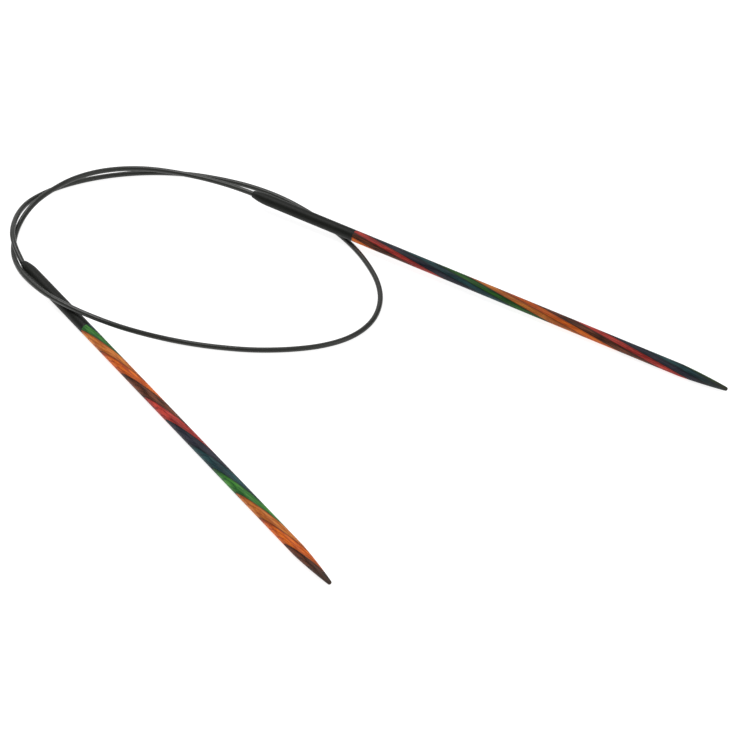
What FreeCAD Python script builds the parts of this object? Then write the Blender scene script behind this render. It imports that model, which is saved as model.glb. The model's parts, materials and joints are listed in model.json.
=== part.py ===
import FreeCAD, Part
import math
import os

os.makedirs("parts", exist_ok=True)

# Fixed circular knitting needle, 60 cm from tip to tip, 3.0 mm.
#
# Two pointed shanks of dyed, laminated birch are glued into black metal
# ferrules.  A thin nylon cable runs from one ferrule to the other.  Each end of
# the cable carries a crimped brass stop that can turn inside its ferrule, so
# the needle swivels on the cable, and the cable flexes where it leaves the
# ferrule's mouth.
#
# Millimetres, +Z up.  The needle lies on the plane Z = 0, with the origin
# under the middle of the rectangle that the two needles cover.

# Needle, measured along its axis from the ferrule's mouth to the tip
needle_length = 133.9
ferrule_length = 30.6
shank_radius = 1.5
taper_length = 12.4
taper_bulge = 0.12
tip_radius = 0.5
tip_slope = 6.0

# Ferrule: a plain tube, flush with the shank, that closes to a rounded nose.
# Its rim at the wood is eased, so that stitches do not catch on it.
nose_length = 4.6
nose_bulge = 0.14
mouth_radius = 0.9
socket_radius = 1.1
socket_floor = 11.9
rim_ease = 0.06
rim_ease_length = 0.6

# Shank's tenon, glued into the ferrule's socket
tenon_length = 14.0
tenon_start = ferrule_length - tenon_length

# Laminated birch: flat veneers, slanted to the axis
smallest_ply = 2.0
veneer_colours = ("green", "orange", "amber", "brown", "red", "navy", "teal")

# Cable and the stop crimped on each of its ends
cable_radius = 0.65
swivel_gap = 0.05
stop_radius = 1.04
stop_start = socket_floor + 0.1
stop_end = tenon_start - 0.1
flex_reach = 0.9
flex_gap = 0.02

# Where the two needles lie: mouth of the ferrule, heading, and dip of the tip.
# The right ferrule lies on the cable, so only its far end meets the surface.
# veneer_slant is the angle between the veneers and the axis, veneer_pitch the
# distance between glue lines along it, grain_turn the way the veneers lean,
# counted round the axis, and first_joint where the first glue line crosses it.
left_needle = {
    "mouth": (-84.11, 41.81, 1.5),
    "heading": -54.88,
    "dip": 0.0,
    "veneer_slant": 9.5,
    "veneer_pitch": 9.84,
    "grain_turn": 6.5,
    "first_joint": 9.15,
    "first_colour": 4,
}
right_needle = {
    "mouth": (-28.21, 67.05, 3.97),
    "heading": -32.44,
    "dip": 1.157,
    "veneer_slant": 6.8,
    "veneer_pitch": 9.71,
    "grain_turn": 223.0,
    "first_joint": 26.0,
    "first_colour": 2,
}

# The cable's route, from the right ferrule round to the left one.  It lies on
# the surface in the main, under the right ferrule and over the left needle, and
# passes over itself three times.
cable_route = [
    (-32.3, 69.7, 3.9),
    (-39.1, 73.4, 3.65),
    (-47.5, 76.9, 3.35),
    (-56.9, 79.5, 3.0),
    (-66.5, 78.9, 3.0),
    (-74.6, 75.2, 3.15),
    (-80.4, 69.4, 3.15),
    (-83.7, 65.3, 2.7),
    (-85.9, 61.8, 1.7),
    (-87.3, 58.0, 0.85),
    (-87.8, 53.6, 0.65),
    (-87.7, 49.1, 0.65),
    (-87.0, 45.0, 0.65),
    (-84.8, 38.8, 1.9),
    (-81.7, 33.0, 3.6),
    (-77.6, 27.6, 5.5),
    (-73.4, 23.9, 6.7),
    (-68.8, 20.7, 6.7),
    (-63.9, 18.3, 5.3),
    (-58.5, 16.7, 3.1),
    (-53.0, 15.5, 1.3),
    (-47.2, 14.1, 0.65),
    (-41.6, 12.5, 0.65),
    (-35.6, 11.2, 0.65),
    (-26.7, 10.0, 0.65),
    (-17.7, 10.2, 0.65),
    (-9.6, 11.6, 0.65),
    (-2.8, 14.8, 0.65),
    (2.1, 20.4, 0.65),
    (4.1, 27.7, 0.65),
    (3.6, 34.9, 0.65),
    (1.2, 42.1, 0.65),
    (-2.5, 49.5, 0.65),
    (-8.0, 57.1, 0.65),
    (-14.3, 64.0, 0.65),
    (-21.2, 70.0, 0.65),
    (-29.0, 74.7, 0.65),
    (-37.3, 77.9, 0.65),
    (-45.8, 80.1, 0.65),
    (-54.6, 80.8, 0.65),
    (-63.3, 80.0, 0.65),
    (-71.4, 77.9, 0.65),
    (-78.4, 74.7, 0.65),
    (-83.2, 71.1, 0.65),
    (-86.2, 67.3, 0.95),
    (-87.8, 61.8, 1.8),
    (-88.2, 56.2, 2.75),
    (-88.0, 51.9, 3.3),
    (-87.4, 49.0, 3.15),
    (-86.7, 46.9, 2.75),
    (-85.9, 45.1, 2.2),
]

X_AXIS = FreeCAD.Vector(1, 0, 0)
Y_AXIS = FreeCAD.Vector(0, 1, 0)
Z_AXIS = FreeCAD.Vector(0, 0, 1)
CENTRE = FreeCAD.Vector(0, 0, 0)


def save(name, shape):
    """Write one piece as its own STEP file."""
    shape.exportStep("parts/" + name + ".step")
    print(name, "volume %.2f mm3" % shape.Volume)


def turned(edges):
    """The solid made by turning a closed half outline round the X axis."""
    return Part.Face(Part.Wire(edges)).revolve(CENTRE, X_AXIS, 360)


def line(a, b):
    return Part.makeLine(FreeCAD.Vector(a[0], a[1], 0), FreeCAD.Vector(b[0], b[1], 0))


def lines(points):
    return [line(a, b) for a, b in zip(points, points[1:])]


def arc(a, middle, b):
    """An arc through three points (along the axis, out from it)."""
    corners = [FreeCAD.Vector(p[0], p[1], 0) for p in (a, middle, b)]
    return Part.Arc(*corners).toShape()


def ogive(start, end, bulge):
    """A convex curve between two points, bulging outwards from the chord."""
    dx = end[0] - start[0]
    dr = end[1] - start[1]
    chord = math.hypot(dx, dr)
    middle = (
        (start[0] + end[0]) / 2 - bulge * abs(dr) / chord * math.copysign(1, dr),
        (start[1] + end[1]) / 2 + bulge * abs(dx) / chord,
    )
    return arc(start, middle, end)


def placement(needle):
    """From the needle's own frame, mouth at 0 and tip along +X, to its place."""
    turn = FreeCAD.Rotation(Z_AXIS, needle["heading"])
    dip = FreeCAD.Rotation(Y_AXIS, needle["dip"])
    return FreeCAD.Placement(FreeCAD.Vector(*needle["mouth"]), turn.multiply(dip))


def shank_blank():
    """The whole wooden shank before it is told apart into its veneers."""
    centre = needle_length - tip_radius
    slope = math.radians(tip_slope)
    half = math.radians(45)
    taper_start = (needle_length - taper_length, shank_radius)
    taper_end = (
        centre + tip_radius * math.sin(slope),
        tip_radius * math.cos(slope),
    )
    cap_middle = (centre + tip_radius * math.cos(half), tip_radius * math.sin(half))
    tip = (needle_length, 0)
    steps = [
        (tenon_start, 0),
        (tenon_start, socket_radius),
        (ferrule_length, socket_radius),
        (ferrule_length, shank_radius),
        taper_start,
    ]
    edges = lines(steps)
    edges.append(ogive(taper_start, taper_end, taper_bulge))
    edges.append(arc(taper_end, cap_middle, tip))
    edges.append(line(tip, steps[0]))
    return turned(edges)


def veneers_beyond(start, needle):
    """Everything past the glue line that crosses the axis at start."""
    reach = 2 * needle_length
    corner = FreeCAD.Vector(0, -reach / 2, -reach)
    slab = Part.makeBox(reach, reach, 2 * reach, corner)
    slant = FreeCAD.Rotation(Y_AXIS, 90 - needle["veneer_slant"])
    lean = FreeCAD.Rotation(X_AXIS, needle["grain_turn"] - 90)
    slab.Placement = FreeCAD.Placement(FreeCAD.Vector(start, 0, 0), lean.multiply(slant))
    return slab


def plies(needle):
    """The shank's veneers in order from the ferrule, as (colour, solid)."""
    blank = shank_blank()
    start = needle["first_joint"]
    colour = needle["first_colour"]
    found = []
    while start < needle_length + needle["veneer_pitch"]:
        rest = veneers_beyond(start, needle)
        ply = blank.cut(rest)
        remainder = blank.common(rest)
        if remainder.Volume < smallest_ply:
            ply = blank
            remainder = None
        if ply.Volume > smallest_ply:
            name = veneer_colours[colour % len(veneer_colours)]
            found.append((name, ply.Solids[0]))
            blank = remainder
        if remainder is None:
            break
        colour += 1
        start += needle["veneer_pitch"]
    return found


def ferrule():
    """A tube with a deep socket for the tenon and a narrow bore for the cable."""
    bore_radius = cable_radius + swivel_gap
    nose_end = (nose_length, shank_radius)
    mouth = (0, mouth_radius)
    outline = [
        nose_end,
        (ferrule_length - rim_ease_length, shank_radius),
        (ferrule_length, shank_radius - rim_ease),
        (ferrule_length, socket_radius),
        (socket_floor, socket_radius),
        (socket_floor, bore_radius),
        (0, bore_radius),
        mouth,
    ]
    return turned(lines(outline) + [ogive(mouth, nose_end, nose_bulge)])


def cable_stop():
    """The brass bush crimped on the cable's end, free to turn in the ferrule."""
    chamfer = 0.15
    outline = [
        (stop_start, cable_radius),
        (stop_start, stop_radius - chamfer),
        (stop_start + chamfer, stop_radius),
        (stop_end - chamfer, stop_radius),
        (stop_end, stop_radius - chamfer),
        (stop_end, cable_radius),
        (stop_start, cable_radius),
    ]
    return turned(lines(outline))


def cable_end():
    """The stretch of cable inside the ferrule, round at the point of flex."""
    flex = -flex_reach
    front = (flex - cable_radius, 0)
    shoulder = (flex, cable_radius)
    half = cable_radius * math.sqrt(0.5)
    outline = [shoulder, (stop_end, cable_radius), (stop_end, 0), front]
    return turned(lines(outline) + [arc(front, (flex - half, half), shoulder)])


def flex_point(needle):
    """Just outside the mouth, where the cable bends."""
    return placement(needle).multVec(FreeCAD.Vector(-flex_reach, 0, 0))


def tube_end(needle, onward):
    """Where the free cable starts, close to the round end that it turns on."""
    flex = flex_point(needle)
    return flex + (onward - flex).normalize() * (cable_radius + flex_gap)


def cable():
    """A tube of straight runs joined by arcs that touch both of their runs."""
    points = [FreeCAD.Vector(*p) for p in cable_route]
    points.insert(0, tube_end(right_needle, points[0]))
    points.append(tube_end(left_needle, points[-1]))
    edges = []
    here = points[0]
    smallest = None
    for before, corner, after in zip(points, points[1:], points[2:]):
        back = (before - corner).normalize()
        onward = (after - corner).normalize()
        turn = math.pi - back.getAngle(onward)
        run = min((before - corner).Length, (after - corner).Length)
        reach = 0.45 * run
        radius = reach / math.tan(turn / 2)
        smallest = radius if smallest is None else min(smallest, radius)
        start = corner + back * reach
        end = corner + onward * reach
        towards = (back + onward).normalize()
        depth = radius / math.cos(turn / 2) - radius
        edges.append(Part.LineSegment(here, start).toShape())
        edges.append(Part.Arc(start, corner + towards * depth, end).toShape())
        print("turn %4.1f deg, radius %5.1f mm" % (math.degrees(turn), radius))
        here = end
    edges.append(Part.LineSegment(here, points[-1]).toShape())
    path = Part.Wire(edges)
    heading = (points[1] - points[0]).normalize()
    section = Part.Wire(Part.makeCircle(cable_radius, points[0], heading))
    tube = path.makePipeShell([section], True, False)
    plain = math.pi * cable_radius**2 * path.Length
    print("smallest radius %.1f mm, length %.1f mm" % (smallest, path.Length))
    print("volume %.2f, section by length %.2f mm3" % (tube.Volume, plain))
    return tube


save("cable", cable())

for side, needle in (("left", left_needle), ("right", right_needle)):
    place = placement(needle)
    pieces = [("ferrule", ferrule()), ("cable_stop", cable_stop()), ("cable_end", cable_end())]
    for number, (colour, ply) in enumerate(plies(needle), 1):
        pieces.append(("ply_%02d_%s" % (number, colour), ply))
    for name, shape in pieces:
        shape.Placement = place.multiply(shape.Placement)
        save(side + "_" + name, shape)
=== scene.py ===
import json
import math

import bpy
from mathutils import Euler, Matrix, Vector


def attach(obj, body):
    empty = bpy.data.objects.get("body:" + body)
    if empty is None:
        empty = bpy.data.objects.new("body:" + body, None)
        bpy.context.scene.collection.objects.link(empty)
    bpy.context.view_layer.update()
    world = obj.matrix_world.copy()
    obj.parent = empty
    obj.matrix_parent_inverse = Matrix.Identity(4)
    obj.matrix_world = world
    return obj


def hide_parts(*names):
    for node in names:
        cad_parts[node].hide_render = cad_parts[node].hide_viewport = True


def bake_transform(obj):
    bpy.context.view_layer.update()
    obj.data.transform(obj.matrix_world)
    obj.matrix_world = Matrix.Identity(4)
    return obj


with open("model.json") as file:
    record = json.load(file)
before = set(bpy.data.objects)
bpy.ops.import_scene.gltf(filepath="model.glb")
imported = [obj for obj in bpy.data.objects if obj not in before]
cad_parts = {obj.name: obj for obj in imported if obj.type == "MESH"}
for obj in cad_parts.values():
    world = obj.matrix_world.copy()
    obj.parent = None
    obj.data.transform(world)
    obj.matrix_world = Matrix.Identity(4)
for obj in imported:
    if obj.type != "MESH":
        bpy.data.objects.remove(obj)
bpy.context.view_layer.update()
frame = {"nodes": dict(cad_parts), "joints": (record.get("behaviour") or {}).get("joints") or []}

MM = 0.001
joints = {j["name"]: j for j in frame["joints"]}
scene = bpy.context.scene


def link(name, data):
    """Add an object with this data to the scene."""
    made = bpy.data.objects.new(name, data)
    scene.collection.objects.link(made)
    return made


# ---------------------------------------------------------------- camera
# It looks from straight in front, well above the horizon.
ELEVATION = math.radians(41.1)
CAMERA_DISTANCE = 0.5905
LOOKED_AT = Vector((0.00114, 0.00398, 0.0))
SENSOR_WIDTH = 36.0
LENS = 121.95

camera_data = bpy.data.cameras.new("camera")
camera_data.sensor_width = SENSOR_WIDTH
camera_data.lens = LENS
camera_data.clip_start = 0.01
camera_data.clip_end = 10.0
camera = link("camera", camera_data)
camera.location = LOOKED_AT + CAMERA_DISTANCE * Vector(
    (0.0, -math.cos(ELEVATION), math.sin(ELEVATION))
)
camera.rotation_euler = (math.pi / 2 - ELEVATION, 0.0, 0.0)
scene.camera = camera

# ---------------------------------------------------------------- cable
# Control points in millimetres, from the right ferrule round to the left one.
CABLE_RADIUS = 0.65 * MM
CABLE_SIDES = 24
LINE_STEPS = 12
RIM_ANGLE = math.radians(60)
CABLE_ROUTE = [
    (-32.3, 69.7, 3.9),
    (-39.1, 73.4, 3.65),
    (-47.5, 76.9, 3.35),
    (-56.9, 79.5, 3.0),
    (-66.5, 78.9, 3.0),
    (-74.6, 75.2, 3.15),
    (-80.4, 69.4, 3.15),
    (-83.7, 65.3, 2.7),
    (-85.9, 61.8, 1.7),
    (-87.3, 58.0, 0.85),
    (-87.8, 53.6, 0.65),
    (-87.7, 49.1, 0.65),
    (-87.0, 45.0, 0.65),
    (-84.8, 38.8, 1.8),
    (-81.7, 33.0, 3.1),
    (-77.6, 27.6, 3.9),
    (-73.4, 23.9, 4.1),
    (-68.8, 20.6, 4.1),
    (-63.9, 17.6, 4.1),
    (-58.4, 15.4, 3.4),
    (-52.9, 14.5, 2.1),
    (-47.2, 13.7, 1.0),
    (-41.6, 12.5, 0.65),
    (-35.6, 11.2, 0.65),
    (-26.7, 10.0, 0.65),
    (-17.7, 10.2, 0.65),
    (-9.6, 11.6, 0.65),
    (-2.8, 14.8, 0.65),
    (2.1, 20.4, 0.65),
    (4.1, 27.7, 0.65),
    (3.6, 34.9, 0.65),
    (1.2, 42.1, 0.65),
    (-2.5, 49.5, 0.65),
    (-8.0, 57.1, 0.65),
    (-14.3, 64.0, 0.65),
    (-21.2, 70.0, 0.65),
    (-29.0, 74.7, 0.65),
    (-37.3, 77.9, 0.65),
    (-45.8, 80.1, 0.65),
    (-54.6, 80.8, 0.65),
    (-63.3, 80.0, 0.65),
    (-71.4, 77.9, 0.65),
    (-78.4, 74.7, 0.65),
    (-83.2, 71.1, 0.65),
    (-86.2, 67.3, 0.95),
    (-87.8, 61.8, 1.8),
    (-88.2, 56.2, 2.75),
    (-88.0, 51.9, 3.3),
    (-87.4, 49.0, 3.15),
    (-86.7, 46.9, 2.75),
    (-85.9, 45.1, 2.2),
]
right_flex = Vector(joints["right_flex"]["pos_m"])
left_flex = Vector(joints["left_flex"]["pos_m"])


def cable_line():
    """Points along the cable's smooth line, one open NURBS spline."""
    points = [right_flex] + [Vector(p) * MM for p in CABLE_ROUTE] + [left_flex]
    curve = bpy.data.curves.new("cable_line", "CURVE")
    curve.dimensions = "3D"
    curve.resolution_u = LINE_STEPS
    spline = curve.splines.new("NURBS")
    spline.points.add(len(points) - 1)
    for target, point in zip(spline.points, points):
        target.co = (*point, 1.0)
    spline.order_u = 3
    spline.use_endpoint_u = True
    guide = bpy.data.objects.new("cable_line", curve)
    drawn = bpy.data.meshes.new_from_object(guide)
    line = [v.co.copy() for v in drawn.vertices]
    bpy.data.objects.remove(guide)
    bpy.data.curves.remove(curve)
    bpy.data.meshes.remove(drawn)
    return line


# At each point of the line: the way it runs, and a side that doesn't twist
# round it from one point to the next.
line = cable_line()
end = len(line) - 1
ways = [
    (line[min(i + 1, end)] - line[max(i - 1, 0)]).normalized()
    for i in range(len(line))
]
sides = [ways[0].orthogonal().normalized()]
for way in ways[1:]:
    sides.append((sides[-1] - sides[-1].dot(way) * way).normalized())


def stretch_length(first, last):
    """Length along the line between two of its points."""
    pairs = zip(line[first:last], line[first + 1 : last + 1])
    return sum((b - a).length for a, b in pairs)


def cable_stretch(name, first, last):
    """A closed tube round part of the line, smooth but for its two rims."""
    corners, faces = [], []
    n = CABLE_SIDES
    for point, way, side in zip(
        line[first : last + 1], ways[first : last + 1], sides[first : last + 1]
    ):
        other = way.cross(side)
        for k in range(n):
            turn = 2 * math.pi * k / n
            out = math.cos(turn) * side + math.sin(turn) * other
            corners.append(point + CABLE_RADIUS * out)
    rings = last - first
    for r in range(rings):
        for k in range(n):
            a, b = r * n + k, r * n + (k + 1) % n
            faces.append((a, b, b + n, a + n))
    faces.append(tuple(reversed(range(n))))
    faces.append(tuple(range(rings * n, rings * n + n)))
    mesh = bpy.data.meshes.new(name)
    mesh.from_pydata(corners, [], faces)
    mesh.shade_smooth()
    mesh.set_sharp_from_angle(angle=RIM_ANGLE)
    return link(name, mesh)


def bend(piece, first, last, ferrule_end, flex):
    """Bake a stretch's placement into its mesh."""
    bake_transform(piece)


# Three stretches of one cable: the two at the ferrules' mouths, and
# the long one between them. BENDING is how long the first two are.
BENDING = 34 * MM
right_cut = next(i for i in range(1, end + 1) if stretch_length(0, i) > BENDING)
left_cut = next(i for i in range(end - 1, 0, -1) if stretch_length(i, end) > BENDING)
# first and last point on the line, where it leaves, and the ferrule end and flex joint it meets
stretches = {
    "cable_right": (0, right_cut, right_flex, ("right_end", right_flex)),
    "cable_middle": (right_cut, left_cut, line[right_cut], None),
    "cable_left": (left_cut, end, line[left_cut], ("left_end", left_flex)),
}
cables = {}
for name, (first, last, exit_point, bends_round) in stretches.items():
    piece = cable_stretch(name, first, last)
    if bends_round:
        bend(piece, first, last, *bends_round)
    else:
        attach(piece, "cable")
    stretch_length(first, last)
    cables[name] = piece
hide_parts("cable")


# ---------------------------------------------------------------- materials
class Nodes:
    """Short calls for building one material's node tree."""

    def __init__(self, name):
        self.material = bpy.data.materials.new(name)
        self.material.use_nodes = True
        self.tree = self.material.node_tree
        self.shader = self.tree.nodes["Principled BSDF"]

    def put(self, socket, value):
        """Link a node's result into a socket, or set the socket's own value."""
        if isinstance(value, bpy.types.NodeSocket):
            self.tree.links.new(value, socket)
        else:
            socket.default_value = value

    def add(self, kind, inputs=(), **settings):
        """Add a node, with its settings and inputs by name."""
        node = self.tree.nodes.new(kind)
        for key, value in settings.items():
            setattr(node, key, value)
        for key, value in dict(inputs).items():
            self.put(node.inputs[key], value)
        return node

    def math(self, operation, a, b=0.0, c=0.0):
        """The result of one math node."""
        node = self.add("ShaderNodeMath", operation=operation)
        for socket, value in zip(node.inputs, (a, b, c)):
            self.put(socket, value)
        return node.outputs[0]

    def span(self, value, low, high, to_low=0.0, to_high=1.0, smooth=False):
        """Map a value from low..high to another range, held at its ends."""
        node = self.add("ShaderNodeMapRange", clamp=True)
        if smooth:
            node.interpolation_type = "SMOOTHSTEP"
        for socket, number in zip(
            node.inputs, (value, low, high, to_low, to_high)
        ):
            self.put(socket, number)
        return node.outputs[0]

    def noise(self, vector, scale, detail=2.0, rough=0.5):
        """Noise from 0 to 1 at these coordinates."""
        inputs = {
            "Vector": vector,
            "Scale": scale,
            "Detail": detail,
            "Roughness": rough,
            "Distortion": 0.0,
        }
        return self.add("ShaderNodeTexNoise", inputs).outputs["Fac"]

    def stretch(self, vector, sizes):
        """Scale the three coordinates separately."""
        node = self.add("ShaderNodeMapping", {"Vector": vector, "Scale": sizes})
        return node.outputs[0]

    def mix(self, share, a, b):
        """Mix colour a with a share of colour b."""
        node = self.add("ShaderNodeMix", data_type="RGBA", blend_type="MIX")
        self.put(node.inputs["Factor"], share)
        self.put(node.inputs["A"], a)
        self.put(node.inputs["B"], b)
        return next(s for s in node.outputs if s.type == "RGBA")

    def bump(self, height, distance, strength):
        """Give the shader fine relief, its distance in metres."""
        inputs = {"Height": height, "Distance": distance, "Strength": strength}
        self.put(
            self.shader.inputs["Normal"],
            self.add("ShaderNodeBump", inputs).outputs[0],
        )

    def finish(self, **values):
        """Set the shader's sockets by name, underscores for spaces."""
        for key, value in values.items():
            self.put(self.shader.inputs[key.replace("_", " ")], value)
        return self.material


def local_mm(nodes, origin, rotation):
    """Object coordinates in millimetres, X along one needle from its mouth."""
    coords = nodes.add("ShaderNodeTexCoord").outputs["Object"]
    inputs = {
        "Vector": coords,
        "Location": origin,
        "Rotation": rotation,
        "Scale": (MM, MM, MM),
    }
    node = nodes.add("ShaderNodeMapping", inputs, vector_type="TEXTURE")
    return node.outputs[0]


# Millimetres along a needle from its mouth. The point is greyed over TIP_GREYING,
# and the ferrule's coat is worn over NOSE_WEAR and RIM_WEAR.
NEEDLE_LENGTH = 133.9
FERRULE_LENGTH = 30.6
TIP_GREYING = 9.0
NOSE_WEAR = (0.2, 2.2)
RIM_WEAR = (FERRULE_LENGTH - 0.8, FERRULE_LENGTH - 0.1)

# The veneers of each needle: their angle to the axis, how far apart their glue
# lines are along it, the way they lean round it and where the first line
# crosses it. shade scales the dyes and shades a single one: the right needle is
# darker, its green most of all. Mouth and rotation are added from the joints.
SIDES = {
    "left": {
        "slant": 9.5,
        "pitch": 9.84,
        "grain_turn": 6.5,
        "first_joint": 9.15,
        "shade": 0.97,
        "shades": {},
    },
    "right": {
        "slant": 6.8,
        "pitch": 9.71,
        "grain_turn": 223.0,
        "first_joint": 26.0,
        "shade": 0.76,
        "shades": {"green": 0.40},
    },
}
for side, facts in SIDES.items():
    swivel = joints[side + "_swivel"]
    axis = Vector(swivel["axis"])
    heading = math.atan2(axis.y, axis.x)
    dip = -math.asin(axis.z)
    facts["mouth"] = Vector(swivel["pos_m"])
    facts["rotation"] = Euler((0.0, dip, heading), "XYZ")

# Added to the count of veneers, so that it is above zero all along a needle.
SPARE_VENEERS = 40

# Two tones of each dye, and how strong its figure is.
DYES = {
    "green": ((0.076, 0.32, 0.042), (0.017, 0.096, 0.026), 0.9),
    "orange": ((0.80, 0.27, 0.050), (0.42, 0.095, 0.015), 1.0),
    "amber": ((1.0, 0.225, 0.022), (0.47, 0.070, 0.010), 1.0),
    "brown": ((0.24, 0.066, 0.028), (0.052, 0.018, 0.010), 0.9),
    "red": ((0.80, 0.085, 0.058), (0.25, 0.018, 0.018), 0.9),
    "navy": ((0.052, 0.052, 0.074), (0.012, 0.015, 0.026), 0.8),
    "teal": ((0.031, 0.104, 0.110), (0.009, 0.030, 0.039), 0.8),
}


def birch(side, dye):
    """Dyed birch veneers, turned and lacquered: fibres, figure, glue lines."""
    light, dark, figure = DYES[dye]
    facts = SIDES[side]
    shade = facts["shades"].get(dye, facts["shade"])
    light = [c * shade for c in light]
    dark = [c * shade for c in dark]
    n = Nodes("birch_%s_%s" % (dye, side))
    at = local_mm(n, facts["mouth"], facts["rotation"])
    along = n.add("ShaderNodeSeparateXYZ", {"Vector": at}).outputs[0]
    turn = math.radians(facts["grain_turn"])
    slant = math.radians(facts["slant"])
    thickness = facts["pitch"] * math.sin(slant)
    lean = (
        math.sin(slant),
        -math.cos(slant) * math.cos(turn),
        -math.cos(slant) * math.sin(turn),
    )
    across = n.add("ShaderNodeVectorMath", operation="DOT_PRODUCT")
    n.put(across.inputs[0], at)
    across.inputs[1].default_value = lean
    start = facts["first_joint"] / facts["pitch"]
    depth = n.math(
        "MULTIPLY_ADD", across.outputs["Value"], 1 / thickness, SPARE_VENEERS - start
    )
    # millimetres to the nearest glue line
    glue = n.math("MULTIPLY", n.math("PINGPONG", depth, 0.5), thickness)

    fibres = n.noise(n.stretch(at, (0.10, 1.0, 1.0)), 7.0, 3.0, 0.6)
    streaks = n.noise(n.stretch(at, (0.05, 1.0, 1.0)), 1.9, 2.0, 0.55)
    cloud = n.noise(n.stretch(at, (0.35, 1.0, 1.0)), 0.55, 2.0, 0.5)
    wobble = n.noise(n.stretch(at, (0.16, 0.8, 0.8)), 0.9, 2.0, 0.5)
    # growth rings lie nearly flat in a peeled veneer
    ring = n.math("MULTIPLY_ADD", wobble, 1.5, n.math("MULTIPLY", depth, 3.0))
    ring = n.math("PINGPONG", ring, 0.5)
    ring = n.span(ring, 0.0, 0.22, 1.0, 0.0, smooth=True)
    pores = n.noise(n.stretch(at, (0.16, 1.0, 1.0)), 16.0, 1.0, 0.5)
    pores = n.span(pores, 0.64, 0.74)

    tone = n.math("MULTIPLY_ADD", streaks, 1.9, -0.50)
    tone = n.math("MULTIPLY_ADD", n.math("SUBTRACT", fibres, 0.5), 1.0, tone)
    tone = n.math("MULTIPLY_ADD", n.math("SUBTRACT", cloud, 0.5), 1.7, tone)
    tone = n.math("MULTIPLY_ADD", ring, -0.55 * figure, tone)
    tone = n.math("MULTIPLY_ADD", pores, -0.30, tone)
    tone = n.span(tone, 0.0, 0.85)
    colour = n.mix(tone, (*dark, 1.0), (*light, 1.0))
    # the dyes darken near the glue, and the glue itself is a thin dark line
    halo = n.span(glue, 0.02, 0.42, 0.60, 0.0, smooth=True)
    colour = n.mix(halo, colour, (*[c * 0.55 for c in dark], 1.0))
    glue_line = n.span(glue, 0.015, 0.07, 0.75, 0.0, smooth=True)
    colour = n.mix(glue_line, colour, (0.008, 0.006, 0.006, 1.0))
    # handling greys the dye at the point
    point = n.span(along, NEEDLE_LENGTH - TIP_GREYING, NEEDLE_LENGTH, 0.0, 0.8)
    colour = n.mix(point, colour, (0.050, 0.043, 0.036, 1.0))

    height = n.math("MULTIPLY_ADD", pores, -0.7, n.math("MULTIPLY", fibres, 0.9))
    height = n.math("MULTIPLY_ADD", glue_line, -0.5, height)
    n.bump(height, 0.012 * MM, 0.6)
    rough = n.span(fibres, 0.3, 0.7, 0.42, 0.56)
    return n.finish(
        Base_Color=colour,
        Roughness=rough,
        Specular_IOR_Level=0.16,
    )


def black_metal(side):
    """Matte black coat on a metal tube, a little paler where it is handled."""
    facts = SIDES[side]
    n = Nodes("ferrule_black_" + side)
    at = local_mm(n, facts["mouth"], facts["rotation"])
    along = n.add("ShaderNodeSeparateXYZ", {"Vector": at}).outputs[0]
    grit = n.noise(at, 9.0, 3.0, 0.65)
    drawn = n.noise(n.stretch(at, (0.06, 1.0, 1.0)), 5.0, 2.0, 0.5)
    cloud = n.noise(at, 0.35, 2.0, 0.5)
    nose = n.span(along, *NOSE_WEAR, 1.0, 0.0, smooth=True)
    rim = n.span(along, *RIM_WEAR, 0.0, 1.0, smooth=True)
    worn = n.math("MULTIPLY", n.math("MAXIMUM", nose, rim), n.span(grit, 0.42, 0.7))
    shade = n.math("MULTIPLY_ADD", cloud, 0.6, n.math("MULTIPLY", grit, 0.5))
    colour = n.mix(
        shade, (0.0034, 0.0040, 0.0030, 1), (0.0095, 0.0108, 0.0082, 1)
    )
    colour = n.mix(worn, colour, (0.032, 0.033, 0.033, 1))
    height = n.math("MULTIPLY_ADD", drawn, 0.6, grit)
    n.bump(height, 0.010 * MM, 0.5)
    rough = n.span(grit, 0.3, 0.7, 0.44, 0.58)
    return n.finish(
        Base_Color=colour, Roughness=rough, Metallic=0.0, Specular_IOR_Level=0.2
    )


def nylon():
    """Dark nylon monofilament with a soft sheen and a fine grain."""
    n = Nodes("cable_nylon")
    # these coordinates are in metres
    at = n.add("ShaderNodeTexCoord").outputs["Object"]
    fine = n.noise(at, 5200.0, 2.0, 0.6)
    slow = n.noise(at, 90.0, 2.0, 0.5)
    colour = n.mix(
        n.math("MULTIPLY_ADD", fine, 0.5, n.math("MULTIPLY", slow, 0.5)),
        (0.0070, 0.0082, 0.0062, 1),
        (0.0200, 0.0225, 0.0175, 1),
    )
    n.bump(n.math("MULTIPLY_ADD", slow, 2.0, fine), 0.006 * MM, 0.5)
    rough = n.span(slow, 0.3, 0.7, 0.36, 0.48)
    return n.finish(Base_Color=colour, Roughness=rough, Specular_IOR_Level=0.55)


def brass(side):
    """Turned brass bush, hidden in the ferrule."""
    facts = SIDES[side]
    n = Nodes("turned_brass_" + side)
    at = local_mm(n, facts["mouth"], facts["rotation"])
    rings = n.noise(n.stretch(at, (1.0, 0.03, 0.03)), 14.0, 2.0, 0.6)
    tint = n.noise(at, 1.4, 3.0, 0.6)
    colour = n.mix(tint, (0.50, 0.33, 0.10, 1), (0.78, 0.58, 0.24, 1))
    n.bump(rings, 0.01 * MM, 0.6)
    rough = n.span(rings, 0.3, 0.7, 0.22, 0.38)
    return n.finish(Base_Color=colour, Roughness=rough, Metallic=1.0)


def dress(piece, material):
    """Put one material on a piece."""
    piece.data.materials.clear()
    piece.data.materials.append(material)


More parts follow.
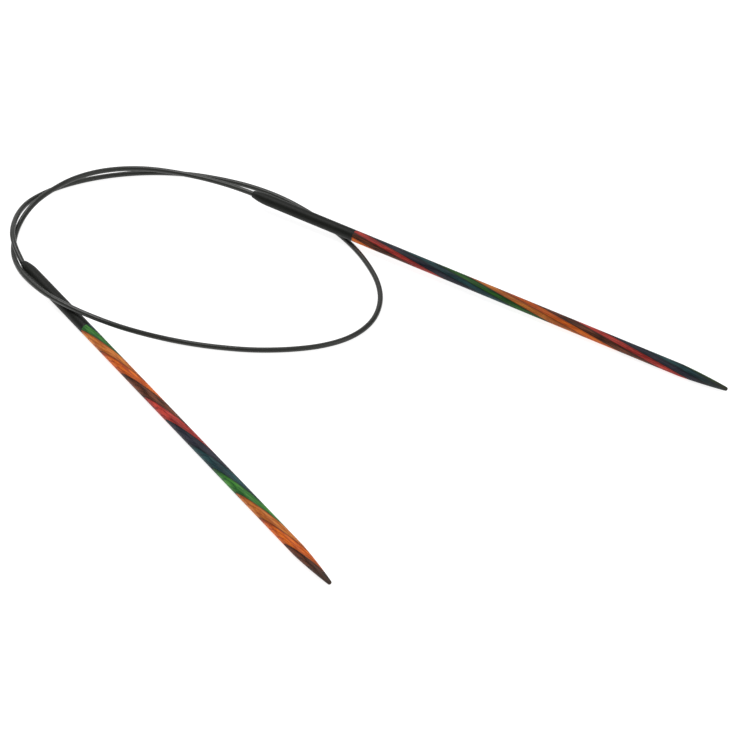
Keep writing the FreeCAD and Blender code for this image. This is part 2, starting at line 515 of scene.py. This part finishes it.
cable_material = nylon()
for piece in cables.values():
    dress(piece, cable_material)
for side in SIDES:
    black = black_metal(side)
    stop = brass(side)
    woods = {dye: birch(side, dye) for dye in DYES}
    for name, node in frame["nodes"].items():
        if not name.startswith(side):
            continue
        if "_ply_" in name:
            dress(node, woods[name.split("_")[-1]])
        elif name.endswith("_ferrule"):
            dress(node, black)
        elif name.endswith("_cable_stop"):
            dress(node, stop)
        else:
            dress(node, cable_material)

# ---------------------------------------------------------------- surroundings
FLOOR_HALF = 1.5
FLOOR_GLOW = 0.86
WORLD_LIGHT = 0.26
LIGHTS_AIM = Vector((0, 0, 0))
# place, size and power of each soft light
LIGHTS = {
    "key": ((-0.35, 0.25, 0.75), 0.45, 3.4),
    "fill": ((0.6, -0.5, 0.6), 0.6, 2.5),
    "backdrop": ((0.0, 0.9, 0.45), 1.2, 2.6),
}


def floor():
    """A plain pale surface that glows, so that it comes out white."""
    data = bpy.data.meshes.new("floor")
    h = FLOOR_HALF
    corners = [(-h, -h, 0.0), (h, -h, 0.0), (h, h, 0.0), (-h, h, 0.0)]
    data.from_pydata(corners, [], [(0, 1, 2, 3)])
    made = link("floor", data)
    n = Nodes("floor_white")
    at = n.add("ShaderNodeTexCoord").outputs["Object"]
    tone = n.noise(at, 30.0, 2.0, 0.5)
    colour = n.mix(tone, (0.38, 0.38, 0.38, 1), (0.42, 0.42, 0.42, 1))
    n.finish(
        Base_Color=colour,
        Roughness=0.9,
        Emission_Color=(1.0, 1.0, 1.0, 1.0),
        Emission_Strength=FLOOR_GLOW,
    )
    data.materials.append(n.material)


def softbox(name, place, size, power):
    """A square area light at a place, turned towards LIGHTS_AIM."""
    data = bpy.data.lights.new(name, "AREA")
    data.shape = "SQUARE"
    data.size = size
    data.energy = power
    lamp = link(name, data)
    lamp.location = place
    towards = LIGHTS_AIM - Vector(place)
    lamp.rotation_euler = towards.to_track_quat("-Z", "Y").to_euler()


floor()
for name, (place, size, power) in LIGHTS.items():
    softbox(name, place, size, power)

world = bpy.data.worlds.new("studio")
scene.world = world
world.use_nodes = True
background = world.node_tree.nodes["Background"]
background.inputs["Color"].default_value = (1, 1, 1, 1)
background.inputs["Strength"].default_value = WORLD_LIGHT
scene.view_settings.view_transform = "Standard"
